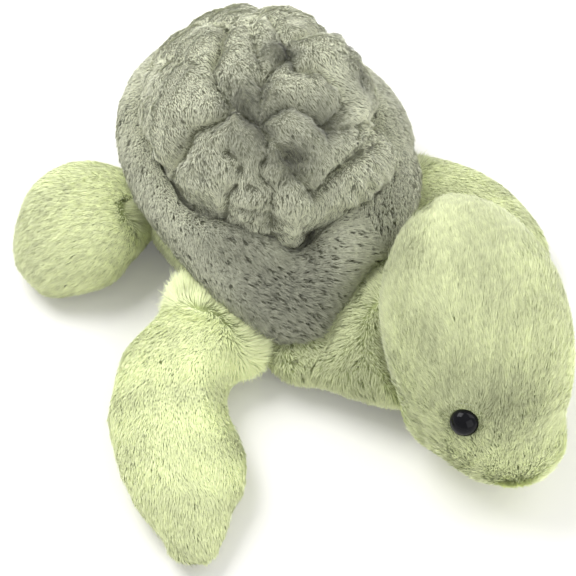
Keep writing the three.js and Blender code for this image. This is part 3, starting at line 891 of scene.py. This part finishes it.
class TURTLE_OT_edge_roll(bpy.types.Operator):
    """Makes the stuffed roll round the shell's edge"""

    bl_idname = "turtle.make_edge_roll"
    bl_label = "Edge roll"

    def execute(self, context):
        nodes = ["edge_roll_cover", "edge_roll_filling"]
        stuffing = [swell((67, 21, 38), (16, 42, 12), -13), swell((-50, -10, 49), (12, 29, 14), 23)]
        skin = sewn_skin("edge_roll_skin", nodes, stuffing, puff=-1.6)
        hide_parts(*nodes)
        foot = crease_line(skin, DOME_FOOT)
        middle = np.array([2, 22, 0]) * MM  # of the shell

        def brushed(points, normals):
            out = unit((points - middle) * [1, 1, 0])
            rearwards = np.column_stack([-out[:, 1], out[:, 0], out[:, 0] * 0]) * np.sign(out[:, :1])
            return out * 0.35 - rearwards * 0.9 + [0, 0, -0.3]

        piles = grow_pile(
            skin, "edge_roll_pile", brushed, length=settings("turtle_pile").grey_length, seed=30, count=180000,
            partings=lambda p: 2.5 + 18 * crowding(p, CRACKED),
            # painted shade: the roll's pile is darker at its tip and on its left front
            tone=lambda p: 0.82 - 0.22 * crowding(p, SHADED_FRONT) - 0.5 * crowding(p, SHADED_TIP),
            folds=(foot, np.full(len(foot), 1.3 * MM)), clear_of=[bpy.data.objects["shell_skin"]],
            thin=lambda p, n: np.where(n[:, 2] < -0.7, 0.6, 1), halves=(middle, (1, 0, 0)))
        dress(skin, piles, grey=True)
        for piece in (skin, *piles):
            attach(piece, "body")
        return {"FINISHED"}


class TURTLE_OT_neck(bpy.types.Operator):
    """Makes the chest and neck, between the body and the head"""

    bl_idname = "turtle.make_neck"
    bl_label = "Neck"

    def execute(self, context):
        nodes = ["neck_cover", "neck_filling"]
        stuffing = [
            swell((-8, -50, 19), (54, 26, 17)), swell((-4, -84, 23), (43, 26, 20)),
            swell((-50, -60, 14), (21, 20, 12)), swell((2, -108, 34), (33, 26, 19)),
        ]
        skin = sewn_skin("neck_skin", nodes, stuffing, puff=-1.5)
        flatten_under(skin)
        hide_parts(*nodes)
        piles = grow_pile(
            skin, "neck_pile", heading([0.15, -0.35, -1.0]), length=settings("turtle_pile").green_length, seed=40,
            count=70000, partings=evenly(3), tone=evenly(0.55), trim=pressed, thin=thin_beneath,
            clear_of=[bpy.data.objects["belly_skin"], bpy.data.objects["edge_roll_skin"]])
        dress(skin, piles, grey=False)
        for piece in (skin, *piles):
            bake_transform(piece)
        return {"FINISHED"}


class TURTLE_OT_head(bpy.types.Operator):
    """Makes the head"""

    bl_idname = "turtle.make_head"
    bl_label = "Head"

    def execute(self, context):
        nodes = ["head_cover", "head_filling"]
        form = settings("turtle_form")
        stuffing = [
            *[swell(*eye_bed(side)) for side in ("right", "left")],
            swell((-20, -163, 28), (25, 25, 20)), swell((-35, -135, 28), (18, 22, 17)),
        ]
        skin = sewn_skin("head_skin", nodes, stuffing, puff=-2.6)
        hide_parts(*nodes)
        seats = [np.array(eye_seat(side)[0]) for side in ("right", "left")]

        def from_eyes(points):
            """Distances to the nearer eye, as shares of its radius."""
            far = np.min([np.linalg.norm(points - seat, axis=1) for seat in seats], axis=0)
            return far / (form.eye_diameter / 2)

        middle, leftwards = np.array([13, -97, 60]) * MM, np.array([0.86, -0.51, 0])

        def painted_light_on_head(points):
            """Painted light: the head's pile is made lighter low down and on its left, where the lamps leave it in
            shade.
            """
            left = np.clip((points - middle) @ leftwards / (30 * MM), 0, 1)
            return 0.52 + 0.38 * lowness(points, 55, 40) + 0.2 * left

        piles = grow_pile(
            skin, "head_pile", heading([0.53, 0.8, 0.55]), length=settings("turtle_pile").green_length, seed=50,
            count=190000, partings=lambda p: 0.6 + 5 * lowness(p, 66, 40), parting_size=0.6, tone=painted_light_on_head,
            trim=lambda p, n: np.clip((from_eyes(p) - 0.75) * 1.3, 0.25, 1), thin=lambda p, n: from_eyes(p) > 0.95,
            halves=(middle, leftwards))
        dress(skin, piles, grey=False)
        for piece in (skin, *piles):
            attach(piece, "head")
        return {"FINISHED"}


EYE_FLATNESS = 0.86
PIN_RADIUS, PIN_LENGTH = 2.5 * MM, 12 * MM  # the pin behind an eye
BED_RADII = (14, 14, 8.8)  # millimetres, the stuffing behind an eye
SEAT_RISE = 3.4 * MM  # from the middle of its washer to an eye


def washer_place(side):
    """The middle of an eye's washer, and the way that the eye looks."""
    eye = points_of(frame["nodes"][f"{side}_eye"].data)
    washer = points_of(frame["nodes"][f"{side}_eye_washer"].data)
    middle = (washer.min(0) + washer.max(0)) / 2
    far = np.linalg.norm(eye - middle, axis=1)
    look = unit((eye[far > far.max() - 0.05 * MM].mean(0) - middle)[None])[0]
    return middle, look


def eye_bed(side):
    """The stuffing between an eye and its washer, which keeps the washer under the skin."""
    middle, look = washer_place(side)
    return (middle - 2 * MM * look) / MM, BED_RADII, 0, look


def eye_seat(side):
    """Where an eye sits on the head, and the way that it looks."""
    middle, look = washer_place(side)
    return Vector(middle + SEAT_RISE * look), Vector(look)


class TURTLE_OT_eyes(bpy.types.Operator):
    """Makes the two glossy safety eyes"""

    bl_idname = "turtle.make_eyes"
    bl_label = "Eyes"

    def execute(self, context):
        form = settings("turtle_form")
        radius = form.eye_diameter / 2
        for side in ("right", "left"):
            seat, look = eye_seat(side)
            aim = look.to_track_quat("Z", "Y")
            bpy.ops.mesh.primitive_uv_sphere_add(
                segments=48, ring_count=32, radius=1, location=seat, rotation=aim.to_euler(),
                scale=(radius, radius, radius * EYE_FLATNESS))
            ball = bpy.context.active_object
            bpy.ops.mesh.primitive_cylinder_add(
                vertices=24, radius=PIN_RADIUS, depth=PIN_LENGTH, location=seat - look * (PIN_LENGTH / 2),
                rotation=aim.to_euler())
            eye = joined(f"{side}_safety_eye", [ball, bpy.context.active_object])
            pick(eye)
            bpy.ops.object.shade_smooth_by_angle(angle=math.radians(50))
            eye.data.materials.append(eye_material())
            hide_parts(f"{side}_eye")
            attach(eye, "head")
        return {"FINISHED"}


def eye_material():
    name = "Polished black eye"
    if name in bpy.data.materials:
        return bpy.data.materials[name]
    material, nodes, links, bsdf = new_material(name)
    finish_of(bsdf, Specular_IOR_Level=0.14)
    noise = mottled(nodes, links, bsdf, (0.002, 0.002, 0.003), (0.006, 0.006, 0.008), scale=500)
    rough = nodes.new("ShaderNodeMapRange")
    rough.inputs["To Min"].default_value = 0.08
    rough.inputs["To Max"].default_value = 0.16
    links.new(noise, rough.inputs["Value"])
    links.new(rough.outputs["Result"], bsdf.inputs["Roughness"])
    return material


class TURTLE_OT_flippers(bpy.types.Operator):
    """Makes the four stuffed flippers"""

    bl_idname = "turtle.make_flippers"
    bl_label = "Flippers"

    def execute(self, context):
        body = [bpy.data.objects[n] for n in ("belly_skin", "edge_roll_skin", "neck_skin")]
        for number, (limb, facts) in enumerate(LIMBS.items()):
            nodes = [f"{limb}_cover", f"{limb}_filling"]
            stuffing = [swell(*egg) for egg in facts["stuffing"]]
            skin = sewn_skin(f"{limb}_skin", nodes, stuffing, smooth=30, puff=facts["puff"])
            pinch(skin, facts.get("pinches", []))
            flatten_under(skin)
            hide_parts(*nodes)
            line, tufts = facts["line"], [(place, TUFT_REACH) for place in facts["tufts"]]

            def brushed(points, normals):
                """Towards the tip, but inwards in the tufts."""
                return along(line, points) * (1 - 2 * crowding(points, tufts)[:, None]) + [0, 0, -0.35]

            piles = grow_pile(
                skin, f"{limb}_pile", brushed, length=settings("turtle_pile").green_length, seed=60 + 4 * number,
                count=facts["locks"], partings=lambda p: 1 + 7 * tip_share(line, p) + 6 * lowness(p, 14, 8),
                # painted light and shade: each limb's tone lightens its pile to how it is lit, and painted shade
                # darkens it towards its tip
                parting_size=0.6, tone=lambda p: facts["tone"] - 0.2 * tip_share(line, p), clear_of=body,
                lean=(54, 76), wander=0.15, trim=lambda p, n: pressed(p, n) * (1 + 2 * crowding(p, tufts)),
                thin=thin_beneath, upright=lambda p: crowding(p, tufts))
            dress(skin, piles, grey=False)
            for piece in (skin, *piles):
                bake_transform(piece)
        return {"FINISHED"}


class TURTLE_OT_inner_pieces(bpy.types.Operator):
    """Finishes the washers inside the head"""

    bl_idname = "turtle.finish_inner_pieces"
    bl_label = "Inner pieces"

    def execute(self, context):
        material, nodes, links, bsdf = new_material("Moulded white washer")
        finish_of(bsdf, Roughness=0.5)
        mottled(nodes, links, bsdf, linear("#dcdcd8"), linear("#efefec"), scale=900)
        for side in ("right", "left"):
            frame["nodes"][f"{side}_eye_washer"].material_slots[0].material = material
        return {"FINISHED"}


class TURTLE_OT_stage(bpy.types.Operator):
    """Sets up the pale floor, the soft light and the camera"""

    bl_idname = "turtle.set_stage"
    bl_label = "Stage"

    def execute(self, context):
        stage = settings("turtle_stage")
        scene = context.scene
        scene.view_settings.view_transform = "Standard"
        a, e = stage.azimuth, stage.elevation
        back = Vector((math.sin(a) * math.cos(e), -math.cos(a) * math.cos(e), math.sin(e)))
        target = Vector(stage.target)
        bpy.ops.object.camera_add(
            location=target + back * stage.distance, rotation=(-back).to_track_quat("-Z", "Y").to_euler())
        camera = context.active_object
        camera.data.sensor_width = SENSOR
        camera.data.lens = stage.focal
        camera.data.clip_start = 0.01
        scene.camera = camera

        bpy.ops.mesh.primitive_plane_add(size=6, location=(0, 0, 0))
        floor = context.active_object
        floor.name = "floor"
        floor.data.materials.append(floor_material())

        right = Vector((math.cos(a), math.sin(a), 0))
        away = Vector((-math.sin(a), math.cos(a), 0))
        up = Vector((0, 0, 1))
        lamps = [
            ("key", -0.6 * right + 0.45 * away + 0.9 * up, 12.5, 0.8),
            ("fill", 0.8 * right + 0.4 * away + 0.7 * up, 5.0, 0.9),
            ("front", 0.5 * right - 0.7 * away + 0.4 * up, 3.0, 0.8),
        ]
        for name, place, power, size in lamps:
            place = target + place
            bpy.ops.object.light_add(
                type="AREA", location=place, rotation=(target - place).to_track_quat("-Z", "Y").to_euler())
            lamp = context.active_object
            lamp.name = name
            lamp.data.energy = power
            lamp.data.size = size
        light_the_world(scene)
        return {"FINISHED"}


def seen_factor(nodes, links):
    """1 for rays from the camera, a mirror or clear glass."""
    path = nodes.new("ShaderNodeLightPath")
    total = path.outputs["Is Camera Ray"]
    for label in ("Is Glossy Ray", "Is Transmission Ray"):
        both = nodes.new("ShaderNodeMath")
        both.operation = "MAXIMUM"
        links.new(total, both.inputs[0])
        links.new(path.outputs[label], both.inputs[1])
        total = both.outputs["Value"]
    return total


def floor_material():
    """A white sheet that keeps the turtle's shadow."""
    material, nodes, links, bsdf = new_material("White sheet")
    finish_of(bsdf, Base_Color=(0.94, 0.93, 0.9, 1), Roughness=0.9, Specular_IOR_Level=0.1)
    glow = nodes.new("ShaderNodeEmission")
    glow.inputs["Color"].default_value = (1, 1, 1, 1)
    share = nodes.new("ShaderNodeMath")
    share.operation = "MULTIPLY"
    share.inputs[1].default_value = 0.08
    mix = nodes.new("ShaderNodeMixShader")
    links.new(seen_factor(nodes, links), share.inputs[0])
    links.new(share.outputs["Value"], mix.inputs["Fac"])
    links.new(bsdf.outputs["BSDF"], mix.inputs[1])
    links.new(glow.outputs["Emission"], mix.inputs[2])
    links.new(mix.outputs["Shader"], nodes["Material Output"].inputs["Surface"])
    return material


def light_the_world(scene):
    world = bpy.data.worlds.new("Pale room")
    scene.world = world
    world.use_nodes = True
    nodes, links = world.node_tree.nodes, world.node_tree.links
    room = nodes["Background"]
    room.inputs["Color"].default_value = (1, 1, 1, 1)
    room.inputs["Strength"].default_value = 0.55
    seen = nodes.new("ShaderNodeBackground")
    mix = nodes.new("ShaderNodeMixShader")
    links.new(seen_factor(nodes, links), mix.inputs["Fac"])
    links.new(room.outputs["Background"], mix.inputs[1])
    links.new(seen.outputs["Background"], mix.inputs[2])
    links.new(mix.outputs["Shader"], nodes["World Output"].inputs["Surface"])


class TURTLE_PT_panel(bpy.types.Panel):
    """Lists the steps that make the turtle"""

    bl_idname = "TURTLE_PT_panel"
    bl_label = "Plush turtle"
    bl_space_type = "VIEW_3D"
    bl_region_type = "UI"
    bl_category = "Turtle"

    def draw(self, context):
        for group in GROUPS:
            box = self.layout.box()
            values = getattr(context.scene, group)
            for name in type(values).__annotations__:
                box.prop(values, name)
        for step in STEPS:
            self.layout.operator(step.bl_idname)


GROUPS = {
    "turtle_pile": TurtlePileSettings,
    "turtle_form": TurtleFormSettings,
    "turtle_stage": TurtleStageSettings,
}
STEPS = [
    TURTLE_OT_stage, TURTLE_OT_belly, TURTLE_OT_shell, TURTLE_OT_edge_roll, TURTLE_OT_neck,
    TURTLE_OT_head, TURTLE_OT_eyes, TURTLE_OT_flippers, TURTLE_OT_inner_pieces,
]


def register():
    for cls in (*GROUPS.values(), *STEPS, TURTLE_PT_panel):
        bpy.utils.register_class(cls)
    for name, cls in GROUPS.items():
        setattr(bpy.types.Scene, name, PointerProperty(type=cls))


def unregister():
    for name in GROUPS:
        delattr(bpy.types.Scene, name)
    for cls in reversed((*GROUPS.values(), *STEPS, TURTLE_PT_panel)):
        bpy.utils.unregister_class(cls)


def main():
    register()
    for step in STEPS:
        space, name = step.bl_idname.split(".")
        getattr(getattr(bpy.ops, space), name)()
    bpy.context.view_layer.update()


if __name__ == "__main__":
    main()
